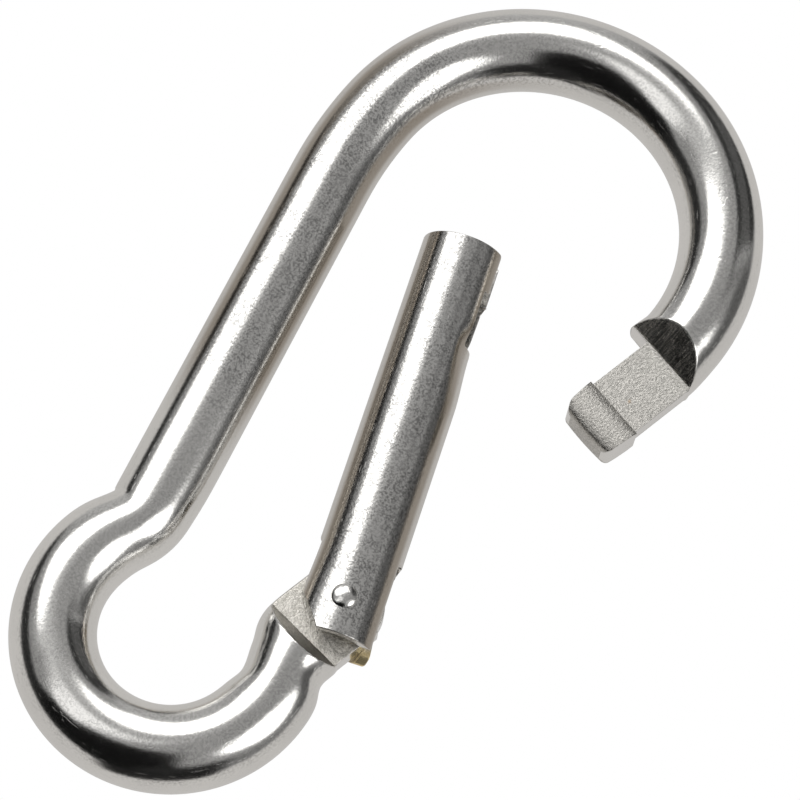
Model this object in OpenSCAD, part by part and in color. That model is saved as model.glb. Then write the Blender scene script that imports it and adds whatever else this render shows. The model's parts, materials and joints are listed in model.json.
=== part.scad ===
// Asymmetric spring-gate snap hook bent from one round bar.
// The hook lies in the X-Z plane: the small eye's centre is the origin, +Z runs to the crown's
// centre, +X is the side of the gate, and -Y is the front face.
// The gate is drawn standing open; gate_open is its angle from closed.

/* [Bar] */
// Diameter of the round bar that the hook is bent from
bar_d = 10.8; // [10:0.1:11.1]
// Bend radius of the small eye, to the bar's centreline
eye_r = 14.5; // [14:0.1:15.5]
// Bend radius of the crown, to the bar's centreline
crown_r = 24.8; // [24:0.1:26]
// Distance from the small eye's centre to the crown's centre
span = 71; // [69:0.5:72]
// Distance of the spine's centreline from the small eye's centre
spine_offset = 9.4; // [8.5:0.1:10.5]
// Bend radius of the reverse bend between the spine and the small eye, to the centreline
kink_r = 5.6; // [5.6:0.1:7]

/* [Hinge end] */
// Distance of the pivot from the small eye's centre, across the hook
pivot_x = 14; // [13.6:0.1:14.4]
// Distance of the pivot from the small eye's centre, along the hook
pivot_z = 16; // [15.6:0.1:16.4]
// Direction, seen from the small eye's centre, in which the eye's arc ends
eye_end = 12; // [8:1:16]
// Thickness of the flat hinge plate
plate_t = 3.4; // [3:0.1:3.8]
// Distance of the shoulder below the pivot
plate_shoulder = 6.3; // [6.1:0.1:6.8]
// Skew of the shoulder's line against the gate's axis
shoulder_skew = 5; // [0:1:6]

/* [Nose] */
// Direction, seen from the crown's centre, in which the bar's axis meets the gate's axis
nose_end = -5; // [-7:1:-3]
// Distance from the pivot to the shoulder where the bar ends
nose_shoulder = 52; // [51:0.1:53]
// Distance from the pivot to the step of the T-head
head_top = 42.7; // [42.2:0.1:43.4]
// Distance from the pivot to the end of the T-head
head_end = 38; // [37.8:0.1:39]
// Thickness of the nose's tongue
tongue_t = 3.4; // [3:0.1:3.8]
// Thickness of the T-head
head_t = 5.6; // [5:0.1:5.8]
// Width of the tongue on the side of the hook's opening, from the gate's axis
tongue_in = 2.5; // [2:0.1:2.8]
// Width of the tongue on the outer side, from the gate's axis
tongue_out = 5.3; // [4.8:0.1:5.4]

/* [Gate] */
// Angle of the gate from closed
gate_open = 33; // [0:0.5:42]
// Distance from the pivot to the gate's free end
gate_top = 50.2; // [48:0.1:50.5]
// Distance from the pivot to the gate's lower end
gate_tail = 4.7; // [4.4:0.1:4.9]
// Thickness of the sheet that the gate is rolled from
gate_wall = 1.2; // [1:0.05:1.3]
// Gap along the rolled sheet's seam
seam_gap = 0.4; // [0.2:0.1:0.8]
// Clearance on each side of a tongue in its slot
slot_play = 0.25; // [0.15:0.05:0.35]

/* [Rivet] */
// Diameter of the rivet's shank
rivet_d = 2.8; // [2.4:0.1:2.8]
// Diameter of the rivet's domed heads
rivet_head_d = 3.2; // [3.1:0.1:3.4]
// Radial running clearance of the shank in the hinge plate
pivot_play = 0.05; // [0.02:0.01:0.08]

/* [Spring and plunger] */
// Diameter of the spring wire
wire_d = 0.7; // [0.5:0.05:0.9]
// Number of turns of the spring
spring_turns = 10; // [7:1:12]
// Plunger lift for each radian that the gate opens
cam_lift = 2.7; // [2.4:0.1:2.8]
// Radius of the plunger's domed nose
plunger_nose_r = 2; // [1.8:0.1:2.2]

/* [Hidden] */

steel = [0.80, 0.79, 0.77];
rivet_steel = [0.74, 0.73, 0.71];
spring_steel = [0.62, 0.62, 0.62];
plunger_brass = [0.80, 0.66, 0.36];

bar_r = bar_d / 2;
round_fn = 64;
arc_fn = 180;
reach = 12;
bite = 1.2;

// Unit vector at an angle in the hook's plane
function dir(a) = [cos(a), sin(a)];

// Lean of the spine: its line touches the crown's arc and passes the eye at spine_offset
lean = asin((crown_r - spine_offset) / span);
spine_normal = dir(180 + lean);
spine_up = dir(90 + lean);
crown_centre = [0, span];
spine_top = crown_centre + crown_r * spine_normal;

// Reverse bend: touches the spine from outside and the eye's circle from outside
kink_along = sqrt(pow(eye_r + kink_r, 2) - pow(spine_offset + kink_r, 2));
kink_centre = (spine_offset + kink_r) * spine_normal + kink_along * spine_up;
kink_dir = 180 + lean - atan2(kink_along, spine_offset + kink_r);
spine_foot = spine_offset * spine_normal + kink_along * spine_up;

// The gate's closed axis runs from the pivot through the bar's axis at the nose
pivot = [pivot_x, pivot_z];
nose_point = crown_centre + crown_r * dir(nose_end);
closed_dir = atan2(nose_point[1] - pivot[1], nose_point[0] - pivot[0]);
open_dir = closed_dir + gate_open;

plate_half = bar_r - 0.05;
shoulder_slope = 62;
nose_slope = 47;
end_run = 9.5;
band_w = 0.8;
band_proud = 0.1;
crown_split = 60;

// Gate sections
gate_bore_r = bar_r - gate_wall;
plate_slot = plate_t + 2 * slot_play;
tongue_slot = tongue_t + 0.8;
head_slot = head_t + 0.7;
slot_end_in = 7.7;
slot_end_out = 7.1;
notch_top = 44.6;
notch_foot = 36.8;
stop_t = 1.1;
stop_foot = notch_foot - stop_t;
tail_cut_side = 6.9;
tail_cut_end = 3.9;

// Rivet
rivet_seat = bar_r - 0.45;
rivet_seat_play = 0.12;
rivet_dome = 0.55;
rivet_rim = 0.3;

// Cam and plunger: the nose's centre climbs in proportion to the gate's angle
cam_base = 7.3;
cam_end = 39;
cam_relief = 0.15;
plunger_gap = 0.04;
plunger_r = gate_bore_r - 0.35;
plunger_collar = 2.6;
plunger_stem_r = 2.1;
plunger_stem = 5;
radian = 180 / PI;
nose_height = cam_base + cam_lift * gate_open / radian + plunger_gap;
collar_top = nose_height + plunger_collar;
spring_len = stop_foot - collar_top;
coil_r = plunger_stem_r + 0.3 + wire_d / 2;

// A point of the cam: the nose's path, moved inwards by the nose's radius
function cam_point(a) =
    let (r = cam_base + cam_lift * a / radian)
    let (tilt = atan(cam_lift / r))
    let (radial = r - plunger_nose_r * cos(tilt))
    let (forward = plunger_nose_r * sin(tilt))
    let (at = [forward, radial])
    [-at[0] * cos(a) - at[1] * sin(a), at[1] * cos(a) - at[0] * sin(a)];

// Stands a drawing up in the hook's plane: drawn x and y become X and Z, drawn z becomes -Y
module upright() {
    rotate([90, 0, 0]) children();
}

// Places a drawing at the pivot with its y axis along a direction in the hook's plane
module at_pivot(direction) {
    upright() translate([pivot[0], pivot[1], 0]) rotate([0, 0, direction - 90]) children();
}

// A bent stretch of bar about a centre, from one direction to another.
// The section starts on the arc's outer side, or on its inner side for a reverse bend.
module bar_arc(centre, radius, from, to, reverse = false) {
    translate([centre[0], centre[1], 0])
        rotate([0, 0, from])
            rotate_extrude(angle = to - from, $fn = arc_fn)
                translate([radius, 0])
                    rotate(reverse ? 180 : 0)
                        circle(r = bar_r, $fn = round_fn);
}

// A straight stretch of bar from a point; its section starts on the left, or on the right
module bar_run(start, direction, length, right = false) {
    translate([start[0], start[1], 0])
        rotate([0, 0, direction])
            rotate([0, 90, 0])
                rotate([0, 0, right ? 270 : 90])
                    cylinder(h = length, r = bar_r, $fn = round_fn);
}

// A thin band, hardly proud of the bar, that ties two stretches together where they meet
module bar_band(point, direction) {
    translate([point[0], point[1], 0])
        rotate([0, 0, direction])
            rotate([0, 90, 0])
                cylinder(h = band_w, r = bar_r + band_proud, center = true, $fn = round_fn);
}

module bent_bar() {
    bar_arc([0, 0], eye_r, kink_dir, 360 + eye_end);
    bar_band(eye_r * dir(kink_dir), kink_dir + 90);
    bar_band(eye_r * dir(eye_end), eye_end + 90);
    bar_band(spine_foot, lean + 90);
    bar_band(spine_top, lean + 90);
    bar_band(crown_centre + crown_r * dir(crown_split), crown_split + 90);
    bar_arc(kink_centre, kink_r, kink_dir - 180, lean, true);
    bar_run(spine_foot, 90 + lean, norm(spine_top - spine_foot));
    bar_arc(crown_centre, crown_r, crown_split, 180 + lean);
    bar_arc(crown_centre, crown_r, nose_end - 4, crown_split);
    bar_run(eye_r * dir(eye_end), 90 + eye_end, end_run, true);
}

// Cuts a bar's end to a flat core of thickness t with a sloped shoulder on both faces.
// Drawn with the shoulder's line at y = 0 and everything above it removed.
module shoulder_cut(t, slope) {
    run = (reach - t / 2) / tan(slope);
    rotate([90, 0, 90])
        linear_extrude(height = 2 * reach, center = true)
            polygon([
                [0, t / 2],
                [-run, reach],
                [2 * reach, reach],
                [2 * reach, -reach],
                [-run, -reach],
                [0, -t / 2]
            ]);
}

// Outline of the hinge plate: straight flanks, a round outer corner and the plunger's cam
module plate_outline() {
    foot_in = -plate_shoulder - plate_half * tan(shoulder_skew) - bite;
    foot_out = -plate_shoulder + plate_half * tan(shoulder_skew) - bite;
    corner_r = cam_base - plunger_nose_r - cam_relief;
    polygon(concat(
        [[-plate_half, foot_in], [plate_half, foot_out], [plate_half, -1]],
        [for (a = [14 : 8 : 86]) corner_r * dir(a)],
        [for (a = [0 : 3 : cam_end]) cam_point(a)],
        [[-plate_half, cam_point(cam_end + 3)[1]]]
    ));
}

module hinge_plate() {
    linear_extrude(height = plate_t, center = true) plate_outline();
}

// The nose's tongue and its T-head, which the closed gate swallows
module nose_tongue() {
    translate([-tongue_in, head_top - bite, -tongue_t / 2])
        cube([tongue_in + tongue_out, nose_shoulder + bite - head_top + bite, tongue_t]);
    nose_head();
}

// The T-head: thick at its step, round at its far corners
module nose_head() {
    corner = 1.4;
    edge_t = head_t - 1.2;
    intersection() {
        translate([-tongue_in, head_end, -head_t / 2])
            cube([tongue_in + tongue_out, head_top - head_end, head_t]);
        translate([0, 0, -head_t / 2])
            linear_extrude(height = head_t)
                polygon([
                    [-tongue_in, head_top],
                    [tongue_out, head_top],
                    [tongue_out, head_end + corner / 2],
                    [tongue_out - corner / 2, head_end],
                    [corner - tongue_in, head_end],
                    [-tongue_in, head_end + corner]
                ]);
        rotate([90, 0, 90])
            linear_extrude(height = 2 * reach, center = true)
                polygon([
                    [head_end, edge_t / 2],
                    [head_end + corner, head_t / 2],
                    [head_top, head_t / 2],
                    [head_top, -head_t / 2],
                    [head_end + corner, -head_t / 2],
                    [head_end, -edge_t / 2]
                ]);
    }
}

module pivot_bore() {
    cylinder(h = 2 * reach, r = rivet_d / 2 + pivot_play, center = true, $fn = round_fn);
}

module hook_body() {
    color(steel) {
        difference() {
            union() {
                difference() {
                    upright() bent_bar();
                    at_pivot(closed_dir)
                        translate([0, -plate_shoulder, 0])
                            rotate([0, 0, shoulder_skew])
                                intersection() {
                                    shoulder_cut(plate_t, shoulder_slope);
                                    cube([4 * reach, 1.6 * reach, 4 * reach], center = true);
                                }
                    at_pivot(closed_dir)
                        translate([0, nose_shoulder, 0])
                            mirror([0, 1, 0])
                                intersection() {
                                    shoulder_cut(tongue_t, nose_slope);
                                    cube([4 * reach, 1.6 * reach, 4 * reach], center = true);
                                }
                }
                at_pivot(closed_dir) hinge_plate();
                at_pivot(closed_dir) nose_tongue();
            }
            at_pivot(closed_dir) pivot_bore();
        }
    }
}

// The rolled tube before its slots are cut
module gate_tube() {
    rotate([-90, 0, 0])
        translate([0, 0, -gate_tail])
            difference() {
                cylinder(h = gate_top + gate_tail, r = bar_r, $fn = round_fn);
                translate([0, 0, -1])
                    cylinder(h = gate_top + gate_tail + 2, r = gate_bore_r, $fn = round_fn);
            }
}

// One of the two lips bent inwards below the notch, which hold the spring's upper end
module spring_stop(side) {
    lip_w = 2.1;
    lip_in = 1.6;
    wall_w = sqrt(pow(gate_bore_r + 0.3, 2) - pow(seam_gap / 2 + lip_w, 2));
    low = side > 0 ? seam_gap / 2 : -seam_gap / 2 - lip_w;
    translate([-lip_in, stop_foot, low]) cube([lip_in + wall_w, stop_t, lip_w]);
}

// A slot through the wall on the seam's side, from one height to another
module seam_side_slot(width, from, to) {
    translate([0, from, -width / 2]) cube([reach, to - from, width]);
}

module gate_sleeve() {
    color(steel)
        at_pivot(open_dir)
            difference() {
                union() {
                    gate_tube();
                    spring_stop(1);
                    spring_stop(-1);
                }
                seam_side_slot(seam_gap, -gate_tail - 1, gate_top + 1);
                seam_side_slot(plate_slot, -gate_tail - 1, slot_end_out);
                seam_side_slot(head_slot, notch_foot, notch_top);
                seam_side_slot(tongue_slot, notch_top - 1, gate_top + 1);
                translate([-reach, -gate_tail - 1, -plate_slot / 2])
                    cube([reach, slot_end_in + gate_tail + 1, plate_slot]);
                translate([-bar_r, -gate_tail, 0])
                    linear_extrude(height = 4 * reach, center = true)
                        polygon([[-1, tail_cut_side], [-1, -1], [tail_cut_end, -1]]);
                cylinder(h = 2 * reach, r = rivet_d / 2, center = true, $fn = round_fn);
                for (side = [0, 1])
                    mirror([0, 0, side])
                        translate([0, 0, rivet_seat])
                            cylinder(h = reach, r = rivet_head_d / 2 + rivet_seat_play, $fn = round_fn);
            }
}

// A domed rivet head that sits on its seat and stands proud of the gate
module rivet_head() {
    head_r = rivet_head_d / 2;
    dome_r = (head_r * head_r + rivet_dome * rivet_dome) / (2 * rivet_dome);
    translate([0, 0, rivet_seat]) {
        cylinder(h = rivet_rim, r = head_r, $fn = round_fn);
        translate([0, 0, rivet_rim])
            intersection() {
                cylinder(h = rivet_dome, r = head_r, $fn = round_fn);
                translate([0, 0, rivet_dome - dome_r]) sphere(r = dome_r, $fn = round_fn);
            }
    }
}

module hinge_rivet() {
    color(rivet_steel)
        at_pivot(open_dir) {
            cylinder(h = 2 * rivet_seat, r = rivet_d / 2, center = true, $fn = round_fn);
            rivet_head();
            mirror([0, 0, 1]) rivet_head();
        }
}

// Height along the coil after a number of turns: one dead turn at each end, even pitch between
function coil_rise(t) =
    let (dead = wire_d * 1.02)
    let (live = (spring_len - wire_d - 2 * dead) / (spring_turns - 2))
    t < 1 ? t * dead :
    t < spring_turns - 1 ? dead + (t - 1) * live :
    dead + (spring_turns - 2) * live + (t - spring_turns + 1) * dead;

module return_spring() {
    per_turn = 18;
    sides = 6;
    steps = spring_turns * per_turn;
    rings = [for (i = [0 : steps])
        let (a = 360 * i / per_turn)
        let (h = collar_top + wire_d / 2 + coil_rise(i / per_turn))
        [for (k = [0 : sides - 1])
            let (b = 360 * k / sides)
            let (r = coil_r + wire_d / 2 * cos(b))
            [r * cos(a), h + wire_d / 2 * sin(b), r * sin(a)]]];
    points = [for (ring = rings) for (p = ring) p];
    skin = [for (i = [0 : steps - 1]) for (k = [0 : sides - 1])
        let (n = (k + 1) % sides)
        [i * sides + k, (i + 1) * sides + k, (i + 1) * sides + n, i * sides + n]];
    start_cap = [[for (k = [0 : sides - 1]) k]];
    end_cap = [[for (k = [sides - 1 : -1 : 0]) steps * sides + k]];
    color(spring_steel)
        at_pivot(open_dir)
            polyhedron(points = points, faces = concat(skin, start_cap, end_cap), convexity = 10);
}

// The plunger: a domed nose that rides the cam, a collar under the spring and a guide stem
module spring_plunger() {
    color(plunger_brass)
        at_pivot(open_dir)
            rotate([-90, 0, 0])
                rotate_extrude($fn = round_fn)
                    intersection() {
                        union() {
                            translate([0, nose_height]) circle(r = plunger_nose_r, $fn = round_fn);
                            translate([0, nose_height + 0.2])
                                square([plunger_r, plunger_collar - 0.2]);
                            translate([0, collar_top - bite])
                                square([plunger_stem_r, plunger_stem + bite]);
                        }
                        square([reach, 4 * reach]);
                    }
}

hook_body();
gate_sleeve();
hinge_rivet();
return_spring();
spring_plunger();
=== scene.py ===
"""Looks of the spring-gate snap hook: visual pieces, finishes, floor, light and camera.

Lengths are worked out in millimetres in the hook's plane (x across, z along, h towards the front)
and turned into metres when a mesh is made.
"""
import json
import math

import bpy
import numpy as np
from mathutils import Matrix, Vector
from mathutils.geometry import delaunay_2d_cdt


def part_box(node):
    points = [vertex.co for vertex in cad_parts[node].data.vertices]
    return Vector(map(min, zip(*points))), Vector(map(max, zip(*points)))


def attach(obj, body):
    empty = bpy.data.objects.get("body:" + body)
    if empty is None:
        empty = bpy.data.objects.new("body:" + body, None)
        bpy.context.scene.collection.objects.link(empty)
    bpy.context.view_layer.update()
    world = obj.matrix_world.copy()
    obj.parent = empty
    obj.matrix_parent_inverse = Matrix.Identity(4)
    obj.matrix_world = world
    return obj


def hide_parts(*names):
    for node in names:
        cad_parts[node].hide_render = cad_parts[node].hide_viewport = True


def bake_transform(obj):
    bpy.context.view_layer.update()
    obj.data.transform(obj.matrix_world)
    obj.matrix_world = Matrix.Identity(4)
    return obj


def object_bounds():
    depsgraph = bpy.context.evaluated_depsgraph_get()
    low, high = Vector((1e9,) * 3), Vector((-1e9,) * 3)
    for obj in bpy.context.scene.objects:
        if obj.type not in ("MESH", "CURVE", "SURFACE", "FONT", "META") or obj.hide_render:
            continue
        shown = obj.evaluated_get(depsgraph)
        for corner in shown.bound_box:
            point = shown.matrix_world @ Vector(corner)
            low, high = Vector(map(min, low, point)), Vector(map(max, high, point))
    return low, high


MM = 0.001
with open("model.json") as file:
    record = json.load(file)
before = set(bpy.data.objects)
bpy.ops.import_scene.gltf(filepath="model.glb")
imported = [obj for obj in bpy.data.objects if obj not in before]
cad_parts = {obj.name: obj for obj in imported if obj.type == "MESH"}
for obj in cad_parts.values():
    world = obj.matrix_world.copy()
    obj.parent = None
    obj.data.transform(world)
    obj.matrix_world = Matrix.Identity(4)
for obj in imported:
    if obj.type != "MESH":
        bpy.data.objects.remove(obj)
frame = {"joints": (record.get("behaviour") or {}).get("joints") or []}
first_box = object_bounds()


# ---------------------------------------------------------------- sizes taken from the CAD frame
def box_mm(node):
    low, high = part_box(node)
    return np.array(low) / MM, np.array(high) / MM


def direction(degrees):
    return np.array([math.cos(math.radians(degrees)), math.sin(math.radians(degrees))])


JOINTS = {j["name"]: j for j in frame["joints"]}
hook_low, hook_high = box_mm("hook_body")
gate_low, gate_high = box_mm("gate_sleeve")

BAR_R = (gate_high[1] - gate_low[1]) / 2
EYE_R = -hook_low[2] - BAR_R
CROWN_R = (hook_high[0] - hook_low[0]) / 2 - BAR_R
SPAN = hook_high[2] - CROWN_R - BAR_R
PIVOT = np.array(JOINTS["gate_hinge"]["pos_m"])[[0, 2]] / MM
SLIDE = JOINTS["plunger_slide"]["axis"]
OPEN_DIR = math.degrees(math.atan2(SLIDE[2], SLIDE[0]))
CLOSED_DIR = OPEN_DIR + JOINTS["gate_hinge"]["range_deg"][0]
GATE_DIR = OPEN_DIR - 0.3

# Hook: bends
SPINE_OFFSET = 9.4
LEAD_R = 51.0
KINK_R = 5.6
EYE_END = 12.0
NOSE_END = -5.0

# Hook: hinge plate
PLATE_T = 3.4
PLATE_IN = BAR_R + 0.5
PLATE_OUT = BAR_R + 0.02
SHOULDER = 6.3
SHOULDER_SKEW = math.tan(math.radians(5))
SHOULDER_SLOPE = math.tan(math.radians(62))
BORE_R = 1.45

# Hook: nose
NOSE_SHOULDER = 52.0
NOSE_SLOPE = math.tan(math.radians(47))
HEAD_TOP = 42.7
HEAD_END = 38.0
TONGUE_T = 3.4
TONGUE_IN = 2.65
TONGUE_OUT = 5.5
HEAD_HALF = 2.8
HEAD_IN = 2.95
HEAD_OUT = 5.95
HEAD_MIDDLE = (HEAD_OUT - HEAD_IN) / 2
HEAD_REACH = (HEAD_OUT + HEAD_IN) / 2
HEAD_SWELL = 0.25

# Gate
GATE_TOP = 50.2
GATE_TAIL = 4.7
WALL = 1.2
SEAM_HALF = 0.2
PLATE_SLOT_HALF = 1.95
TONGUE_SLOT_HALF = 2.1
HEAD_SLOT_HALF = 3.15
SLOT_END_IN = 7.7
SLOT_END_OUT = 7.1
NOTCH_TOP = 44.6
NOTCH_FOOT = 36.8
CHEEK_FLARE = 0.38
BACK_PINCH = 0.3
STOP_DENT = 0.45

# Rivet, plunger and spring
RIVET_R = 1.4
RIVET_HEAD_R = 1.6
RIVET_SEAT = BAR_R - 0.45
CAM_BASE = 7.3
CAM_LIFT = 2.7
NOSE_R = 2.0
PLUNGER_R = BAR_R - WALL - 0.35
STEM_R = 2.1
STOP_T = 1.1
SPRING_TURNS = 10
WIRE_R = 0.35


# ---------------------------------------------------------------- mesh helpers
def make_object(name, verts_mm, faces, material, normals=None):
    """A smooth-shaded mesh object from millimetre coordinates in the row frame."""
    mesh = bpy.data.meshes.new(name)
    mesh.from_pydata((np.asarray(verts_mm) * MM).tolist(), [], faces)
    mesh.polygons.foreach_set("use_smooth", [True] * len(mesh.polygons))
    mesh.update()
    if normals is not None:
        mesh.normals_split_custom_set_from_vertices([tuple(n) for n in normals])
    obj = bpy.data.objects.new(name, mesh)
    bpy.context.scene.collection.objects.link(obj)
    obj.data.materials.append(material)
    return obj


def in_frame(axis_dir, across, along, height):
    """Row-frame points from distances across, along and in front of an axis through the pivot."""
    u = direction(axis_dir)
    w = np.array([u[1], -u[0]])
    across, along, height = np.broadcast_arrays(across, along, height)
    x = PIVOT[0] + across * w[0] + along * u[0]
    z = PIVOT[1] + across * w[1] + along * u[1]
    return np.stack([x, -height, z], axis=-1)


def soft_min(x, limit, e):
    """The smaller of x and limit, with the corner between them rounded over about e."""
    return 0.5 * (x + limit - np.sqrt((x - limit) ** 2 + e * e))


def smooth_step(x, low, high):
    t = np.clip((x - low) / (high - low), 0, 1)
    return t * t * (3 - 2 * t)


def grid_faces(rings, count):
    """Quads between successive closed rings of count points each."""
    faces = []
    for i in range(rings - 1):
        for k in range(count):
            n = (k + 1) % count
            faces.append((i * count + k, i * count + n, (i + 1) * count + n, (i + 1) * count + k))
    return faces


# ---------------------------------------------------------------- hook
def spine_lean():
    """Lean of the spine whose line touches the lead arc and passes the eye at its offset."""
    a, b = LEAD_R - CROWN_R, SPAN
    return math.degrees(math.atan2(b, a) - math.acos((LEAD_R - SPINE_OFFSET) / math.hypot(a, b)))


def arc_points(centre, radius, start, end, step=0.1):
    count = max(2, int(abs(math.radians(end - start)) * radius / step))
    return [np.array(centre) + radius * direction(a) for a in np.linspace(start, end, count)]


def line_points(start, end, step=0.1):
    count = max(2, int(np.linalg.norm(np.array(end) - start) / step))
    return [np.array(start) + (np.array(end) - start) * t for t in np.linspace(0, 1, count)]


def bar_centreline():
    """Centreline from the T-head's end over the crown, down the spine and round the eye."""
    u = direction(CLOSED_DIR)
    lean = spine_lean()
    normal, up = direction(180 + lean), direction(90 + lean)
    along = math.sqrt((EYE_R + KINK_R) ** 2 - (SPINE_OFFSET + KINK_R) ** 2)
    kink = (SPINE_OFFSET + KINK_R) * normal + along * up
    kink_dir = 180 + lean - math.degrees(math.atan2(along, SPINE_OFFSET + KINK_R))
    foot = SPINE_OFFSET * normal + along * up
    lead = np.array([LEAD_R - CROWN_R, SPAN])
    shoulder = PIVOT - SHOULDER * u
    points = line_points(PIVOT + (HEAD_END - 2) * u, PIVOT + 52.5 * u)
    points += arc_points([0, SPAN], CROWN_R, NOSE_END + 2, 180)
    points += arc_points(lead, LEAD_R, 180, 180 + lean)
    points += line_points(lead + LEAD_R * normal, foot)
    points += arc_points(kink, KINK_R, lean, kink_dir - 180)
    points += arc_points([0, 0], EYE_R, kink_dir, 360 + EYE_END)
    points += line_points(EYE_R * direction(EYE_END), shoulder)
    points += line_points(shoulder, PIVOT + 12 * u)
    return np.array(points)


def even_path(points, step, blur):
    """The path at even steps, its corners eased over about blur."""
    keep = np.concatenate([[True], np.linalg.norm(np.diff(points, axis=0), axis=1) > 1e-6])
    points = points[keep]
    run = np.concatenate([[0], np.cumsum(np.linalg.norm(np.diff(points, axis=0), axis=1))])
    even = np.arange(0, run[-1], step)
    path = np.stack([np.interp(even, run, points[:, k]) for k in range(2)], axis=1)
    width = int(3 * blur / step)
    kernel = np.exp(-0.5 * (np.arange(-width, width + 1) * step / blur) ** 2)
    kernel /= kernel.sum()
    ends = np.concatenate([
        path[0] + (path[0] - path[width:0:-1]),
        path,
        path[-1] + (path[-1] - path[-2:-width - 2:-1]),
    ])
    return np.stack([np.convolve(ends[:, k], kernel, mode="valid") for k in range(2)], axis=1)


def kink_middle():
    """Middle of the reverse bend's centreline."""
    lean = spine_lean()
    along = math.sqrt((EYE_R + KINK_R) ** 2 - (SPINE_OFFSET + KINK_R) ** 2)
    centre = (SPINE_OFFSET + KINK_R) * direction(180 + lean) + along * direction(90 + lean)
    turn = math.degrees(math.atan2(along, SPINE_OFFSET + KINK_R))
    return centre + KINK_R * direction(lean - turn / 2)


def station_steps(along):
    """Ring spacing of the nose and of the hinge plate, finest at their edges."""
    nose = np.interp(along, [37, 39, 42.2, 42.6, 42.8, 43.2, 51.4, 51.8, 52.2, 56, 60],
                     [0.06, 0.12, 0.15, 0.02, 0.02, 0.15, 0.15, 0.03, 0.05, 0.08, 0.5])
    hinge = np.interp(along, [-16, -11, -7.2, -5.6, -4.5], [0.5, 0.08, 0.05, 0.05, 0.2])
    return nose, hinge


def hook_stations():
    """Ring centres and tangents along the bar."""
    step = 0.02
    path = even_path(bar_centreline(), step, 0.7)
    tangent = np.gradient(path, axis=0)
    tangent /= np.linalg.norm(tangent, axis=1)[:, None]
    along = (path - PIVOT) @ direction(CLOSED_DIR)
    half = len(path) // 2
    start = int(np.argmax(along[:half] >= HEAD_END))
    stop = half + int(np.argmax(along[half:] * (path[half:, 0] > 8) >= 0.4))
    picked, i = [], float(start)
    while i < stop:
        k = int(i)
        picked.append(k)
        nose, hinge = station_steps(along[k])
        near_nose = k < half
        shaped = path[k, 0] > 5 and (near_nose or path[k, 1] > 0)
        gap = (nose if near_nose else hinge) if shaped else 0.5
        i += max(1, gap / step)
    picked.append(stop)
    return path[picked], tangent[picked], along[picked], np.array([k < half for k in picked])


def nose_limits(across, along):
    """Half thickness, inner and outer limits of the forged nose at a distance along the axis."""
    past_end = along - HEAD_END
    edge = 0.5
    t = np.clip(1 - past_end / edge, 0, 1)
    crowned = 0.62 * np.abs((along - 40.5) / 2.4) ** 2.6
    head = HEAD_HALF - crowned - edge * (1 - np.sqrt(1 - t * t))
    root = 0.14 * np.exp(-np.abs(along - NOSE_SHOULDER) / 0.6)
    root = root + 0.06 * np.exp(-np.abs(along - HEAD_TOP) / 0.35)
    body = TONGUE_T / 2 + root + np.maximum(0, along - NOSE_SHOULDER) * NOSE_SLOPE
    mix = smooth_step(along, HEAD_TOP - 0.05, HEAD_TOP + 0.05)
    half_t = head * (1 - mix) + body * mix
    corner_in = np.clip(1 - past_end / 1.5, 0, 1)
    corner_out = np.clip(1 - past_end / 0.9, 0, 1)
    taper = 0.08 * (HEAD_TOP - along)
    inner = -TONGUE_IN * mix - (HEAD_IN - taper) * (1 - mix)
    inner = inner + 1.4 * (1 - np.sqrt(1 - corner_in ** 2))
    outer = TONGUE_OUT * mix + (HEAD_OUT - taper) * (1 - mix)
    outer = outer - 0.9 * (1 - np.sqrt(1 - corner_out ** 2))
    inner = inner - 8 * smooth_step(along, NOSE_SHOULDER - 0.15, NOSE_SHOULDER + 0.1)
    outer = outer + 8 * smooth_step(along, NOSE_SHOULDER - 0.6, NOSE_SHOULDER + 3)
    return half_t, inner, outer


def hinge_limits(across, along):
    """Half thickness, inner and outer limits of the hinge plate and its shoulders."""
    root = -SHOULDER + across * SHOULDER_SKEW
    half_t = PLATE_T / 2 + np.maximum(0, root - along) * SHOULDER_SLOPE
    free = 8 * smooth_step(-along, SHOULDER + 0.2, SHOULDER + 3)
    return half_t, -PLATE_IN - free, PLATE_OUT + free


def bump_at(x, centre, width):
    return math.exp(-(((x - centre) / width) ** 2))


def cam_height(across):
    """Height of the hinge plate's hidden end above the pivot, at a distance across it."""
    angle = np.radians(np.arange(0, 46, 1.0))
    radius = CAM_BASE + CAM_LIFT * angle
    tilt = np.arctan(CAM_LIFT / radius)
    forward, radial = NOSE_R * np.sin(tilt), radius - NOSE_R * np.cos(tilt)
    x = -forward * np.cos(angle) - radial * np.sin(angle)
    y = radial * np.cos(angle) - forward * np.sin(angle)
    corner = CAM_BASE - NOSE_R - 0.15
    climb = np.interp(across, x[::-1], y[::-1])
    round_part = np.sqrt(np.maximum(corner ** 2 - across ** 2, 1.2))
    return np.where(across > x[0], round_part, climb)


def forged_width(l, nose):
    """How much the forging widens the bar at a distance l along the gate's closed axis."""
    if nose:
        return 1 + 0.05 * smooth_step(-l, -56, -52) + 0.25 * smooth_step(-l, -52, -51)
    return 1 + 0.1 * smooth_step(l, -9.5, -SHOULDER)


def bent_sides(side, past):
    """Sides of a ring near the reverse bend: creased inside the bend, drawn in outside it."""
    crease = 0.05 * bump_at(past, 0, 1.3) + 0.06 * bump_at(past, 2.6, 2.0)
    drawn = 0.07 * bump_at(past, 0, 4.5)
    return side * np.where(side > 0, 1 - crease, 1 - drawn)


def pinched_sides(side, l):
    """Sides of a ring in the pinched neck below the hinge plate."""
    pinch = np.where(side < 0, 0.12 * bump_at(l, -12.6, 2.6), 0.13 * bump_at(l, -10.2, 1.7))
    return side * (1 - pinch)


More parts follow.
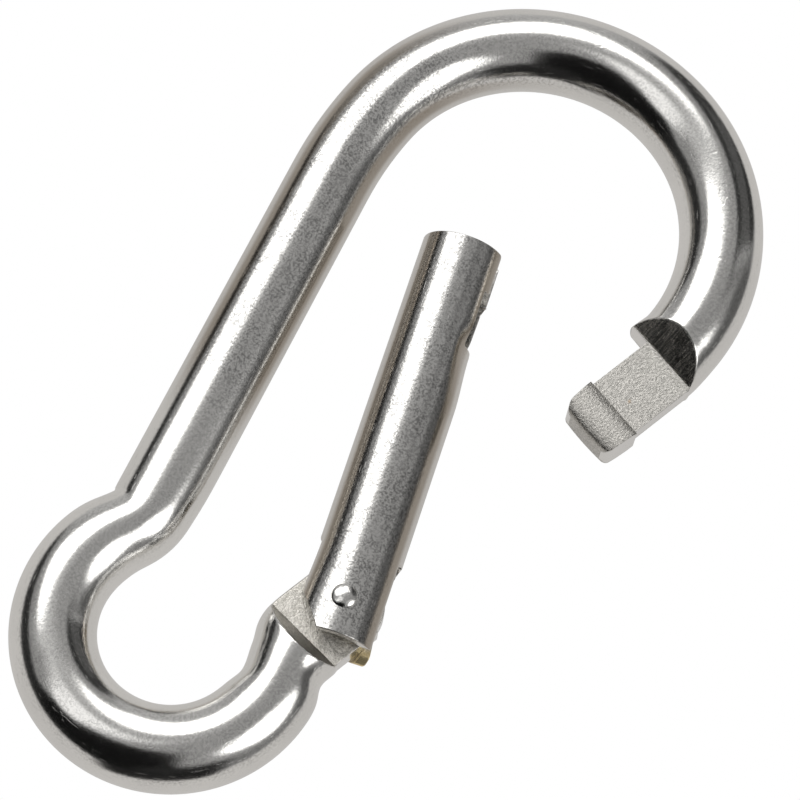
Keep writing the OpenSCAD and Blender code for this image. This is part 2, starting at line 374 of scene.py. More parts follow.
def bar_ring(c, t, l, nose, phi):
    """One ring of the bar's skin round centre c, with the bar running along t."""
    u = direction(CLOSED_DIR)
    w = np.array([u[1], -u[0]])
    n = np.array([t[1], -t[0]])
    gate_side = c[0] > 5
    shaped = gate_side and (nose or c[1] > 0)
    widen = forged_width(l, nose) if shaped else 1.0
    side, height = widen * BAR_R * np.cos(phi), (widen if nose else 1) * BAR_R * np.sin(phi)
    from_bend = c - kink_middle()
    if np.linalg.norm(from_bend) < 12:
        side = bent_sides(side, from_bend @ t)
    if gate_side and not nose:
        side = pinched_sides(side, l)
    if shaped:
        point = c + side[:, None] * n
        across, far = (point - PIVOT) @ w, (point - PIVOT) @ u
        half_t, inner, outer = (nose_limits if nose else hinge_limits)(across, far)
        e = 0.3 if nose and l < HEAD_TOP else 0.16
        side = soft_min(side, outer, 0.18)
        side = -soft_min(-side, -inner, 0.18)
        height = np.sign(height) * soft_min(np.abs(height), half_t, e)
    point = c + side[:, None] * n
    if shaped and nose and l < HEAD_TOP:
        share = (HEAD_TOP - l) / (HEAD_TOP - HEAD_END)
        swell = HEAD_SWELL * (1 - ((side - HEAD_MIDDLE) / HEAD_REACH) ** 2) * share
        point = point - swell[:, None] * u
    return np.stack([point[:, 0], -height, point[:, 1]], axis=1)


def cam_rings(base, start):
    """Rings that climb from the plate's straight last ring to the cam's outline."""
    u = direction(CLOSED_DIR)
    flat = base[:, [0, 2]]
    rise = cam_height((flat - PIVOT) @ np.array([u[1], -u[0]])) - start
    rings = []
    for share, shrink in [(0.3, 0), (0.6, 0), (0.9, 0), (0.97, 0.02), (1.0, 0.12)]:
        ring = base.copy()
        ring[:, [0, 2]] = flat + (share * rise)[:, None] * u
        ring[:, 1] *= 1 - shrink
        rings.append(ring)
    return rings


def hook_mesh(material):
    """The bent bar with its forged nose and hinge plate, as one skin of rings."""
    count = 144
    phi = 2 * math.pi * (np.arange(count) + 0.5) / count
    stations = hook_stations()
    rings = [bar_ring(c, t, l, nose, phi) for c, t, l, nose in zip(*stations)]
    rings += cam_rings(rings[-1], stations[2][-1])
    verts = np.concatenate(rings)
    faces = grid_faces(len(rings), count)
    last = (len(rings) - 1) * count
    for k in range(count // 2 - 1):
        a, b, c, d = k, k + 1, count - 2 - k, count - 1 - k
        faces.append((d, c, b, a))
        faces.append((last + a, last + b, last + c, last + d))
    return make_object("hook_bar", verts, faces, material)


def bored(obj, axis_dir, radius):
    """Cuts the pivot's bore through the finished hook."""
    count = 48
    ring = [2 * math.pi * k / count for k in range(count)]
    verts = np.array([
        in_frame(axis_dir, radius * math.cos(a), radius * math.sin(a), h)
        for h in (-8, 8) for a in ring
    ])
    faces = grid_faces(2, count)
    faces += [tuple(range(count - 1, -1, -1)), tuple(range(count, 2 * count))]
    cutter = make_object("cutter", verts, faces, obj.data.materials[0])
    cut = obj.modifiers.new("bore", "BOOLEAN")
    cut.operation, cut.solver, cut.object = "DIFFERENCE", "EXACT", cutter
    bpy.context.view_layer.update()
    graph = bpy.context.evaluated_depsgraph_get()
    mesh = bpy.data.meshes.new_from_object(obj.evaluated_get(graph))
    obj.modifiers.clear()
    obj.data = mesh
    bpy.data.objects.remove(cutter)
    return obj


# ---------------------------------------------------------------- gate
def rounded_outline(corners):
    """A closed outline with each corner (x, y, radius) turned into an arc."""
    points = []
    count = len(corners)
    for i in range(count):
        p = np.array(corners[i][:2])
        before = np.array(corners[i - 1][:2]) - p
        after = np.array(corners[(i + 1) % count][:2]) - p
        radius = corners[i][2]
        if radius <= 0:
            points.append(p)
            continue
        before /= np.linalg.norm(before)
        after /= np.linalg.norm(after)
        half = math.acos(max(-1, min(1, float(before @ after)))) / 2
        if half > 1.5:
            points.append(p)
            continue
        reach = radius / math.tan(half)
        centre = p + (before + after) / np.linalg.norm(before + after) * radius / math.sin(half)
        a, b = p + before * reach - centre, p + after * reach - centre
        turn = math.pi - 2 * half
        sign = 1 if a[0] * b[1] - a[1] * b[0] > 0 else -1
        steps = 7
        for s in range(steps + 1):
            t = sign * turn * s / steps
            rot = np.array([[math.cos(t), -math.sin(t)], [math.sin(t), math.cos(t)]])
            points.append(centre + rot @ a)
    return points


def densify(points, step):
    """Adds points along the outline's long sides."""
    out = []
    for p, q in zip(points, points[1:] + points[:1]):
        parts = max(1, int(np.linalg.norm(q - p) / step))
        out += [p + (q - p) * k / parts for k in range(parts)]
    return np.array(out)


def gate_outline():
    """The flat sheet that rolls up to the gate: x round the tube from the seam, y along it."""
    turn = 2 * math.pi * BAR_R

    def at(half_width):
        return BAR_R * math.asin(half_width / BAR_R)

    seam, plate = at(SEAM_HALF), at(PLATE_SLOT_HALF)
    tongue, head = at(TONGUE_SLOT_HALF), at(HEAD_SLOT_HALF)
    middle = turn / 2
    cut_from, cut_rate = -2.11, 1.6
    first = math.acos(cut_from / BAR_R)
    last = math.pi - plate / BAR_R
    cut = []
    for a in np.linspace(first, last, 12):
        cut.append((a * BAR_R, -GATE_TAIL + cut_rate * (cut_from - BAR_R * math.cos(a)), 0))
    back_cut = [(turn - x, y, 0) for x, y, r in cut[::-1]]
    corners = [(plate, -GATE_TAIL, 0.5)] + cut
    corners += [(middle - plate, SLOT_END_IN, 0.9), (middle + plate, SLOT_END_IN, 0.9)]
    corners += back_cut
    corners += [(turn - plate - 3.2, -GATE_TAIL - 0.3, 2.0)]
    corners += [(turn - plate - 0.8, -GATE_TAIL - 0.9, 0.8)]
    corners += [(turn - plate, -GATE_TAIL + 0.2, 0.9), (turn - plate, SLOT_END_OUT, 0.8)]
    corners += [(turn - seam, SLOT_END_OUT, 0.25), (turn - seam, NOTCH_FOOT, 0.4)]
    corners += [(turn - head, NOTCH_FOOT, 0.5), (turn - head + 0.4, NOTCH_TOP - 0.3, 1.2)]
    corners += [(turn - tongue, NOTCH_TOP - 0.3, 0.3), (turn - tongue, GATE_TOP, 0.5)]
    corners += [(tongue, GATE_TOP, 0.5), (tongue, NOTCH_TOP, 0.3)]
    corners += [(head, NOTCH_TOP, 0.5), (head, NOTCH_FOOT, 0.5)]
    corners += [(seam, NOTCH_FOOT, 0.4), (seam, SLOT_END_OUT, 0.25)]
    corners += [(plate, SLOT_END_OUT, 0.8)]
    return densify(rounded_outline(corners), 0.35)


def outline_normals(points):
    """Outward miter directions of a counter-clockwise outline."""
    before = points - np.roll(points, 1, axis=0)
    after = np.roll(points, -1, axis=0) - points
    before /= np.linalg.norm(before, axis=1)[:, None]
    after /= np.linalg.norm(after, axis=1)[:, None]
    a = np.stack([before[:, 1], -before[:, 0]], axis=1)
    b = np.stack([after[:, 1], -after[:, 0]], axis=1)
    mid = a + b
    mid /= np.linalg.norm(mid, axis=1)[:, None]
    scale = 1 / np.maximum(0.5, np.sum(mid * a, axis=1))
    return mid, mid * scale[:, None]


def inside(points, outline):
    """Which points lie inside the outline."""
    x, y = points[:, 0], points[:, 1]
    result = np.zeros(len(points), bool)
    for p, q in zip(outline, np.roll(outline, -1, axis=0)):
        crosses = (p[1] > y) != (q[1] > y)
        with np.errstate(divide="ignore", invalid="ignore"):
            at = p[0] + (y - p[1]) * (q[0] - p[0]) / (q[1] - p[1])
        result ^= crosses & (x < at)
    return result


def gate_surface(x, y, depth):
    """Rolls a point of the sheet up; its edges are sprung at their feet and dented at the stop.

    Points below the outer skin keep their height near the slots, so that the slots' sides are flat.
    """
    theta = x / BAR_R
    cheek = smooth_step(-np.cos(theta), 0.35, 0.95) * smooth_step(-y, -7.5, 2.5)
    back = smooth_step(np.cos(theta), 0.3, 0.95) * (np.sin(theta) < 0)
    back = back * smooth_step(-y, -7.2, -5) * smooth_step(y, -5, -1)
    stop = smooth_step(np.cos(theta), 0.5, 0.9) * smooth_step(y, NOTCH_FOOT - 8, NOTCH_FOOT)
    stop = stop * smooth_step(-y, -NOTCH_FOOT - 3, -NOTCH_FOOT)
    radius = BAR_R + CHEEK_FLARE * cheek - BACK_PINCH * back - STOP_DENT * stop - depth
    straight = 1 - smooth_step(np.abs(np.sin(theta)), 0.6, 1.0)
    height = (radius + depth * straight) * np.sin(theta)
    across = np.sign(np.cos(theta)) * np.sqrt(np.maximum(radius ** 2 - height ** 2, 0))
    return in_frame(GATE_DIR, across, y, height)


def sheet_normal(x, y):
    """Outward unit normal of the rolled sheet, and its directions round and along."""
    d = 1e-3
    around = (gate_surface(x + d, y, 0) - gate_surface(x - d, y, 0)) / (2 * d)
    up = (gate_surface(x, y + d, 0) - gate_surface(x, y - d, 0)) / (2 * d)
    around /= np.linalg.norm(around, axis=1)[:, None]
    up /= np.linalg.norm(up, axis=1)[:, None]
    normal = np.cross(around, up)
    radial = gate_surface(x, y, 0) - gate_surface(x, y, 1)
    sign = np.sign(np.sum(normal * radial, axis=1))[:, None]
    return normal * sign, around, up


def wall_normal(p, miter, around, up):
    """Unit normal of the cut wall at points of the sheet's outline."""
    along = -miter[:, 1:] * around + miter[:, :1] * up
    through = gate_surface(p[:, 0], p[:, 1], 0) - gate_surface(p[:, 0], p[:, 1], WALL)
    out = np.cross(along, through)
    out /= np.linalg.norm(out, axis=1)[:, None]
    away = miter[:, :1] * around + miter[:, 1:] * up
    return out * np.sign(np.sum(out * away, axis=1))[:, None]


def gate_mesh(material):
    """The rolled sheet with rounded edges."""
    bevel = 0.13
    outline = gate_outline()
    miter, offset = outline_normals(outline)
    # In single precision, as the triangulation returns its points, so that the seams close
    inset = np.array([tuple(Vector(q)) for q in outline - bevel * offset])
    xs = np.arange(0.2, 2 * math.pi * BAR_R, 0.36)
    ys = np.arange(-GATE_TAIL + 0.3, GATE_TOP, 0.9)
    grid = np.stack(np.meshgrid(xs, ys), axis=-1).reshape(-1, 2)
    grid = grid[inside(grid, inset)]
    gap = np.min(np.linalg.norm(grid[:, None, :] - inset[None, :, :], axis=2), axis=1)
    grid = grid[gap > 0.2]
    flat = np.concatenate([inset, grid])
    count = len(inset)
    edges = [(k, (k + 1) % count) for k in range(count)]
    result = delaunay_2d_cdt([Vector(p) for p in flat], edges, [list(range(count))], 1, 1e-5)
    placed = np.array([tuple(v) for v in result[0]])
    triangles = [tuple(f) for f in result[2]]
    x, y = placed[:, 0], placed[:, 1]
    normal, around, up = sheet_normal(x, y)
    verts = [gate_surface(x, y, 0), gate_surface(x, y, WALL)]
    normals = [normal, -normal]
    size = len(placed)
    faces = list(triangles) + [tuple(size + v for v in f[::-1]) for f in triangles]
    # Rounded edge: rings of the outline from the outer face round to the inner one
    steps = [(a, 0) for a in (0, 30, 60, 90)] + [(a, 1) for a in (90, 60, 30, 0)]
    base = 2 * size
    for angle, far in steps:
        s, c = math.sin(math.radians(angle)), math.cos(math.radians(angle))
        p = outline - bevel * (1 - s) * offset if s > 0 else inset
        depth = bevel * (1 - c) if not far else WALL - bevel * (1 - c)
        n, e_x, e_y = sheet_normal(p[:, 0], p[:, 1])
        out = wall_normal(p, miter, e_x, e_y)
        verts.append(gate_surface(p[:, 0], p[:, 1], depth))
        normals.append((-c if far else c) * n + s * out)
    for i in range(len(steps) - 1):
        for k in range(count):
            n = (k + 1) % count
            a, b = base + i * count, base + (i + 1) * count
            faces.append((a + k, b + k, b + n, a + n))
    verts, normals = np.concatenate(verts), np.concatenate(normals)
    first = faces[0]
    a, b, c = (verts[k] for k in first[:3])
    if np.cross(b - a, c - a) @ normals[first[0]] < 0:
        faces = [f[::-1] for f in faces]
    return make_object("gate_tube", verts, faces, material, normals)


def lathe(name, profile, material, axis_dir, count=48, front=False):
    """A turned piece: (radius, height) profile about the gate's axis, or about the pivot's."""
    profile = np.array(profile, float)
    angle = 2 * math.pi * np.arange(count) / count
    r, h = profile[:, :1], profile[:, 1:]
    c, s = r * np.cos(angle), r * np.sin(angle)
    h = np.broadcast_to(h, c.shape)
    points = in_frame(axis_dir, c, s, h) if front else in_frame(axis_dir, c, h, s)
    verts = points.reshape(-1, 3)
    faces = grid_faces(len(profile), count)
    last = (len(profile) - 1) * count
    faces += [tuple(range(count - 1, -1, -1)), tuple(range(last, last + count))]
    if not front:
        faces = [f[::-1] for f in faces]
    return make_object(name, verts, faces, material)


def spring_stops(material):
    """The two lips bent inwards below the notch that hold the spring's upper end."""
    lips = []
    for side, name in ((1, "gate_lip_front"), (-1, "gate_lip_back")):
        lip_w, lip_in, thick = 2.1, 1.6, STOP_T
        wall = math.sqrt((BAR_R - WALL + 0.3) ** 2 - (SEAM_HALF + lip_w) ** 2)
        low, high = sorted((side * SEAM_HALF, side * (SEAM_HALF + lip_w)))
        r = 0.12
        a, b = np.array([-lip_in, NOTCH_FOOT - thick, low]), np.array([wall, NOTCH_FOOT, high])
        rows = []
        for across, ease in ((a[0], r), (a[0] + r, 0), (b[0], 0)):
            outline = rounded_outline([
                (a[1] + ease, a[2] + ease, r), (b[1] - ease, a[2] + ease, r),
                (b[1] - ease, b[2] - ease, r), (a[1] + ease, b[2] - ease, r),
            ])
            rows.append([in_frame(OPEN_DIR, across, p[0], p[1]) for p in outline])
        count = len(rows[0])
        faces = grid_faces(len(rows), count)
        faces.append(tuple(range(count - 1, -1, -1)))
        faces.append(tuple(range((len(rows) - 1) * count, len(rows) * count)))
        lips.append(make_object(name, np.concatenate(rows), faces, material))
    return lips


# ---------------------------------------------------------------- small pieces
def rivet_mesh(material):
    """Shank and two domed heads."""
    dome = 0.55
    rim = 0.3
    half = [(0.001, RIVET_SEAT + rim + dome)]
    for a in range(10, 91, 10):
        s, c = math.sin(math.radians(a)), math.cos(math.radians(a))
        rise = dome * c ** 1.3 if a < 90 else 0
        half.append((RIVET_HEAD_R * s, RIVET_SEAT + rim + rise))
    half.append((RIVET_HEAD_R, RIVET_SEAT + 0.05))
    half.append((RIVET_HEAD_R - 0.05, RIVET_SEAT))
    half.append((RIVET_R, RIVET_SEAT))
    profile = half + [(r, -h) for r, h in half[::-1]]
    return lathe("rivet", profile, material, OPEN_DIR, 64, front=True)


def plunger_mesh(material, lift):
    """Domed nose, collar and guide stem, turned in one piece."""
    nose = CAM_BASE + lift + 0.04
    profile = [(0.001, nose - NOSE_R)]
    for a in range(10, 90, 10):
        s, c = math.sin(math.radians(a)), math.cos(math.radians(a))
        profile.append((NOSE_R * s, nose - NOSE_R * c))
    top = nose + 2.6
    b = 0.2
    profile += [
        (NOSE_R, nose + 0.2), (PLUNGER_R - b, nose + 0.2), (PLUNGER_R, nose + 0.2 + b),
        (PLUNGER_R, top - b), (PLUNGER_R - b, top), (STEM_R, top),
        (STEM_R, top + 4.7), (STEM_R - 0.3, top + 5), (0.001, top + 5),
    ]
    return lathe("plunger", profile, material, OPEN_DIR), top


def spring_mesh(material, foot, top):
    """The coil between the plunger's collar and the lips, with closed ends."""
    per_turn, sides = 40, 12
    coil = STEM_R + 0.3 + WIRE_R
    t = np.linspace(0, SPRING_TURNS, SPRING_TURNS * per_turn + 1)
    dead = 2 * WIRE_R * 1.02
    live = (top - foot - 2 * WIRE_R - 2 * dead) / (SPRING_TURNS - 2)
    rise = np.where(t < 1, t * dead, dead + (np.minimum(t, SPRING_TURNS - 1) - 1) * live)
    rise = rise + np.maximum(0, t - SPRING_TURNS + 1) * dead
    ends = np.convolve(np.pad(rise, 8, mode="edge"), np.ones(17) / 17, mode="valid")
    rise = np.clip(ends, rise[0], rise[-1])
    b = 2 * math.pi * np.arange(sides) / sides
    r = coil + WIRE_R * np.cos(b)[None, :]
    h = foot + WIRE_R + rise[:, None] + WIRE_R * np.sin(b)[None, :]
    a = 2 * math.pi * t[:, None]
    verts = in_frame(OPEN_DIR, r * np.cos(a), h, r * np.sin(a)).reshape(-1, 3)
    faces = grid_faces(len(t), sides)
    faces.append(tuple(range(sides - 1, -1, -1)))
    faces.append(tuple(range((len(t) - 1) * sides, len(t) * sides)))
    return make_object("spring", verts, faces, material)


# ---------------------------------------------------------------- materials
class Nodes:
    """Short forms for building a node tree."""

    def __init__(self, tree):
        self.tree = tree
        tree.nodes.clear()

    def add(self, kind, **values):
        node = self.tree.nodes.new(kind)
        for key, value in values.items():
            setattr(node, key, value)
        return node

    def set(self, socket, value):
        if isinstance(value, bpy.types.NodeSocket):
            self.tree.links.new(value, socket)
        else:
            socket.default_value = value

    def math(self, operation, a, b=0.0, clamp=False):
        node = self.add("ShaderNodeMath", operation=operation, use_clamp=clamp)
        self.set(node.inputs[0], a)
        self.set(node.inputs[1], b)
        return node.outputs[0]

    def dot(self, a, b):
        node = self.add("ShaderNodeVectorMath", operation="DOT_PRODUCT")
        self.set(node.inputs[0], a)
        self.set(node.inputs[1], b)
        return node.outputs["Value"]

    def ramp(self, value, low, high, to_low=0.0, to_high=1.0):
        node = self.add("ShaderNodeMapRange", interpolation_type="SMOOTHSTEP")
        for key, x in (("Value", value), ("From Min", low), ("From Max", high),
                       ("To Min", to_low), ("To Max", to_high)):
            self.set(node.inputs[key], x)
        return node.outputs["Result"]

    def noise(self, vector, scale, detail=2.0, rough=0.5):
        node = self.add("ShaderNodeTexNoise")
        self.set(node.inputs["Vector"], vector)
        self.set(node.inputs["Scale"], scale)
        self.set(node.inputs["Detail"], detail)
        self.set(node.inputs["Roughness"], rough)
        return node.outputs["Fac"]

    def mix_colour(self, factor, a, b):
        node = self.add("ShaderNodeMix", data_type="RGBA")
        self.set(node.inputs[0], factor)
        self.set(node.inputs[6], a)
        self.set(node.inputs[7], b)
        return node.outputs[2]


def new_material(name):
    material = bpy.data.materials.new(name)
    material.use_nodes = True
    return material, Nodes(material.node_tree)


def mix_value(n, mask, a, b):
    node = n.add("ShaderNodeMix", data_type="FLOAT")
    n.set(node.inputs[0], mask)
    n.set(node.inputs[2], a)
    n.set(node.inputs[3], b)
    return node.outputs[0]


def mark(obj, name, values):
    """Stores one number per vertex for a finish to read."""
    layer = obj.data.attributes.new(name, "FLOAT", "POINT")
    layer.data.foreach_set("value", np.asarray(values, np.float32))


def points_mm(obj):
    flat = np.empty(3 * len(obj.data.vertices))
    obj.data.vertices.foreach_get("co", flat)
    return flat.reshape(-1, 3) / MM


def mark_satin(hook):
    """Marks the satin nose and hinge plate, the milled slope, the spine for stronger pits and
    painted edge shade, the plate's faces for painted light, and a rust spot.
    """
    point = points_mm(hook)
    u = direction(CLOSED_DIR)
    flat = point[:, [0, 2]] - PIVOT
    along, across = flat @ u, flat @ np.array([u[1], -u[0]])
    deep = np.abs(point[:, 1])
    over = np.maximum(0, deep - PLATE_T / 2)
    nose_edge = NOSE_SHOULDER + 0.12 + over / NOSE_SLOPE
    nose = (along > 30) & (along < nose_edge) & (np.abs(across) < 9)
    nose = nose & (deep > nose_limits(across, along)[0] - 0.14)
    hinge_edge = -SHOULDER + across * SHOULDER_SKEW - over / SHOULDER_SLOPE - 0.08
    hinge = (along > hinge_edge) & (along < 15) & (np.abs(across) < 7) & (along > -12)
    hinge = hinge & (deep > PLATE_T / 2 - 0.05)
    mark(hook, "satin", nose | hinge)
    spine = smooth_step(point[:, 2], 18, 34) * smooth_step(-point[:, 2], -92, -72)
    # The spine gets stronger pits and the painted edge shade
    mark(hook, "pits_and_edge_shade", spine * (point[:, 0] < 5))
    mark(hook, "milled", nose & (along > NOSE_SHOULDER + 0.15))
    # Painted light: the hinge plate's faces get a brighter satin colour, making up for the light
    # that the gate keeps off them
    mark(hook, "painted_light_plate", hinge & (deep < PLATE_T / 2 + 0.1))
    spot = np.hypot(along - 44.9, across - 2.0)
    mark(hook, "tarnish", np.where(point[:, 1] < 0, np.clip(1.3 - spot / 0.22, 0, 1), 0))


def mark_tip(gate):
    """Marks the whole gate for stronger pits and painted edge shade, and the tip of its rear cheek
    as tinted by heat.
    """
    point = points_mm(gate)
    tip = in_frame(GATE_DIR, 4.6, -GATE_TAIL - 0.4, -2.4)
    far = np.linalg.norm(point - tip, axis=1)
    mark(gate, "tarnish", np.clip((2.3 - far) / 1.0, 0, 1))
    # The whole gate gets stronger pits and the painted edge shade
    mark(gate, "pits_and_edge_shade", np.ones(len(point)))
    mark(gate, "satin", np.clip((1.9 - far) / 0.8, 0, 1) * 0.45)


def streak_place(n, place):
    """Coordinates that run slowly along the hook's plane and quickly across the closed gate."""
    u = direction(CLOSED_DIR)
    stretch = n.add("ShaderNodeCombineXYZ")
    n.set(stretch.inputs[0], n.dot(place, (u[1], 0, -u[0])))
    n.set(stretch.inputs[1], n.math("MULTIPLY", n.dot(place, (u[0], 0, u[1])), 0.08))
    n.set(stretch.inputs[2], n.math("MULTIPLY", n.dot(place, (0, 1, 0)), 0.08))
    return stretch.outputs[0]


def marked(n, name):
    return n.add("ShaderNodeAttribute", attribute_name=name).outputs["Fac"]


def steel_patterns(n):
    """The marks and procedural patterns that the finish is mixed from, by name."""
    place = n.add("ShaderNodeTexCoord").outputs["Object"]
    edge_on = n.add("ShaderNodeLayerWeight").outputs["Facing"]
    p = {name: marked(n, name) for name in ("satin", "milled", "painted_light_plate", "tarnish", "pits_and_edge_shade")}
    p["fine"] = n.noise(place, 3200, 3.0, 0.65)
    p["broad"] = n.noise(place, 260, 3.0, 0.5)
    p["cloud"] = n.noise(place, 90, 2.0, 0.5)
    p["coarse"] = n.noise(place, 3300, 3.0, 0.75)
    p["streaks"] = n.noise(streak_place(n, place), 5200, 2.0, 0.6)
    stretch = n.add("ShaderNodeMapping")
    n.set(stretch.inputs["Vector"], place)
    stretch.inputs["Rotation"].default_value = (0.3, 0.5, 0.2)
    stretch.inputs["Scale"].default_value = (1, 14, 1)
    p["lines"] = n.ramp(n.noise(stretch.outputs[0], 420, 2.0, 0.5), 0.66, 0.7)
    # Fine dark pits in drifts, stronger where the skin is worn and faint where it is seen edge on
    pits = n.ramp(n.noise(place, 3000, 3.0, 0.8), 0.46, 0.57)
    pits = n.math("MULTIPLY", pits, n.ramp(n.noise(place, 420, 2.0, 0.6), 0.3, 0.65, 0.45, 1.0))
    pits = n.math("MULTIPLY", pits, n.ramp(edge_on, 0.3, 0.5, 1.0, 0.15))
    p["pits"] = n.math("MULTIPLY", pits, n.ramp(p["pits_and_edge_shade"], 0.0, 1.0, 0.35, 1.0))
    # Painted shade: a brown band on the sides of the spine and gate seen edge on, standing in for
    # the reflection of the table darkened by the bar's own shadow
    film = n.math("MULTIPLY", n.ramp(edge_on, 0.26, 0.36), n.ramp(edge_on, 0.48, 0.66, 1.0, 0.3))
    p["film"] = n.math("MULTIPLY", film, n.math("MULTIPLY", p["pits_and_edge_shade"], 0.8))
    return p


def steel_bump(n, p, grain, scratch):
    """Relief of the skin, in hundredths of a millimetre."""
    height = n.math("MULTIPLY", p["fine"], grain)
    for name, weight in (("broad", 0.6 * grain), ("pits", -0.16 * grain), ("lines", -scratch)):
        height = n.math("ADD", height, n.math("MULTIPLY", p[name], weight))
    for name, where, weight in (("coarse", "satin", 9.0), ("streaks", "milled", 10.0)):
        relief = n.math("MULTIPLY", n.math("MULTIPLY", p[name], p[where]), weight)
        height = n.math("ADD", height, relief)
    bump = n.add("ShaderNodeBump")
    n.set(bump.inputs["Height"], height)
    bump.inputs["Strength"].default_value = 1.0
    bump.inputs["Distance"].default_value = 0.00001
    return bump.outputs[0]


def steel_colour(n, p, tint, heat):
    """Colour of the metal: polished, pitted, with painted edge shade, satin with a painted brighter
    copy on the hinge plate, milled and tarnished.
    """
    faded, dark = (tuple(k * c for c in tint) + (1,) for k in (0.94, 0.4))
    colour = n.mix_colour(n.ramp(p["cloud"], 0.3, 0.7), tint + (1,), faded)
    colour = n.mix_colour(p["pits"], colour, dark)
    # Painted shade: the brown band on the edge-on sides of the spine and gate
    colour = n.mix_colour(p["film"], colour, (0.34, 0.29, 0.23, 1))
    # Painted light: brighter copies of the satin colours on the hinge plate's faces
    dull = n.mix_colour(p["painted_light_plate"], (0.68, 0.66, 0.62, 1), (0.86, 0.83, 0.77, 1))
    deep = n.mix_colour(p["painted_light_plate"], (0.46, 0.45, 0.42, 1), (0.54, 0.52, 0.47, 1))
    dull = n.mix_colour(n.ramp(p["coarse"], 0.35, 0.6), deep, dull)
    colour = n.mix_colour(p["satin"], colour, dull)
    grooves = n.math("MULTIPLY", p["milled"], n.ramp(p["streaks"], 0.35, 0.6))
    colour = n.mix_colour(grooves, colour, (0.2, 0.2, 0.19, 1))
    return n.mix_colour(n.math("MULTIPLY", p["tarnish"], 0.8), colour, heat + (1,))


def steel_material(name, tint, rough, grain, scratch, heat=(0.45, 0.3, 0.16)):
    """Polished metal with fine pits and faint scratches; satin, milled or tarnished where marked."""
    material, n = new_material(name)
    p = steel_patterns(n)
    shade = n.add("ShaderNodeBsdfPrincipled")
    n.set(shade.inputs["Base Color"], steel_colour(n, p, tint, heat))
    n.set(shade.inputs["Metallic"], n.ramp(p["tarnish"], 0.0, 1.0, 1.0, 0.8))
    polish = n.ramp(p["fine"], 0.3, 0.7, rough * 0.8, rough * 1.25)
    polish = n.math("ADD", polish, n.math("MULTIPLY", p["pits"], 0.07))
    dulled = mix_value(n, p["milled"], 0.3, 0.1)
    n.set(shade.inputs["Roughness"], mix_value(n, p["satin"], polish, dulled))
    n.set(shade.inputs["Normal"], steel_bump(n, p, grain, scratch))
    out = n.add("ShaderNodeOutputMaterial")
    n.set(out.inputs["Surface"], shade.outputs[0])
    return material


def floor_material():
    """Pale floor, seen only from above."""
    material, n = new_material("pale_floor")
    place = n.add("ShaderNodeTexCoord").outputs["Object"]
    shade = n.add("ShaderNodeBsdfPrincipled")
    grain = n.noise(place, 300, 3.0, 0.5)
    pale = n.mix_colour(grain, (0.94, 0.94, 0.94, 1), (0.97, 0.97, 0.97, 1))
    n.set(shade.inputs["Base Color"], pale)
    shade.inputs["Roughness"].default_value = 0.7
    clear = n.add("ShaderNodeBsdfTransparent")
    mix = n.add("ShaderNodeMixShader")
    n.set(mix.inputs[0], n.add("ShaderNodeNewGeometry").outputs["Backfacing"])
    n.set(mix.inputs[1], shade.outputs[0])
    n.set(mix.inputs[2], clear.outputs[0])
    out = n.add("ShaderNodeOutputMaterial")
    n.set(out.inputs["Surface"], mix.outputs[0])
    return material


# ---------------------------------------------------------------- studio
# The shader's camera space has its z pointing away from the viewer; this turns it round
FACING = -1.0
# Camera's place in millimetres, and its axes, in the row frame
CAM_AT = np.array([80.13, -413.06, -89.18])
CAM_RIGHT = np.array([0.77709, -0.05234, 0.62721])
CAM_BACK = np.array([0.17684, -0.93823, -0.29739])
SENSOR_MM = 36
LENS_MM = 157.5


def make_camera():
    data = bpy.data.cameras.new("camera")
    data.sensor_width = SENSOR_MM
    data.lens = LENS_MM
    data.clip_start, data.clip_end = 0.01, 10
    camera = bpy.data.objects.new("camera", data)
    right = CAM_RIGHT / np.linalg.norm(CAM_RIGHT)
    back = CAM_BACK / np.linalg.norm(CAM_BACK)
    up = np.cross(back, right)
    matrix = Matrix([
        [right[0], up[0], back[0], CAM_AT[0] * MM],
        [right[1], up[1], back[1], CAM_AT[1] * MM],
        [right[2], up[2], back[2], CAM_AT[2] * MM],
        [0, 0, 0, 1],
    ])
    bpy.context.scene.collection.objects.link(camera)
    camera.matrix_world = matrix
    bpy.context.scene.camera = camera


# Soft boxes, flags and walls of the studio as the camera would see them in a mirror ball.
# Each is (name, right, up, half width, half height, turn, squareness, softness, brightness),
# in degrees away from the camera's own direction; later ones cover earlier ones.
STUDIO = (
    ("black drape", -40, -38, 46, 41, 0, 6, 0.07, 0.006),
    ("black drape foot", 12, -66, 32, 24, 0, 3, 0.25, 0.02),
    ("left flag", -75, 42, 16, 52, 0, 5, 0.25, 0.022),
    ("pale left wall", -46, 34, 15, 26, 0, 3, 0.3, 0.26),
    ("far wall", -8, 100, 48, 24, 0, 3, 0.3, 0.42),
    ("right wall", 84, -8, 20, 28, 0, 3, 0.3, 0.1),
    ("lower right wall", 60, -56, 30, 18, 30, 3, 0.3, 0.19),
    ("upper right flag", 72, 57, 28, 36, 0, 4, 0.2, 0.085),
    ("flag's near edge", 48, 56, 7, 28, 0, 3, 0.4, 0.03),
    ("flag's dark edge", 90, 50, 9, 28, 0, 3, 0.4, 0.025),
    ("flag's top", 66, 82, 20, 10, 0, 3, 0.4, 0.035),
    ("glow under the box", -16, 36, 30, 8, 10, 3, 0.5, 0.42),
    ("main soft box", -9, 58, 34, 17, 17, 6, 0.1, 2.0),
    ("small window", -20, 15, 22, 8, 32, 3, 0.3, 1.0),
    ("rim of the second box", 44, -15, 29, 26, 0, 3, 0.25, 0.28),
    ("second soft box", 44, -14, 21, 19, -8, 3, 0.14, 2.0),
    ("light strip", 70, 26, 22, 1.6, -10, 4, 0.5, 0.45),
)
BLACK_BEYOND = ("dark past the table's edge", -8, -70, 40, 12, 0, 4, 0.2, 0.015)
INNER_WALL = 0.3
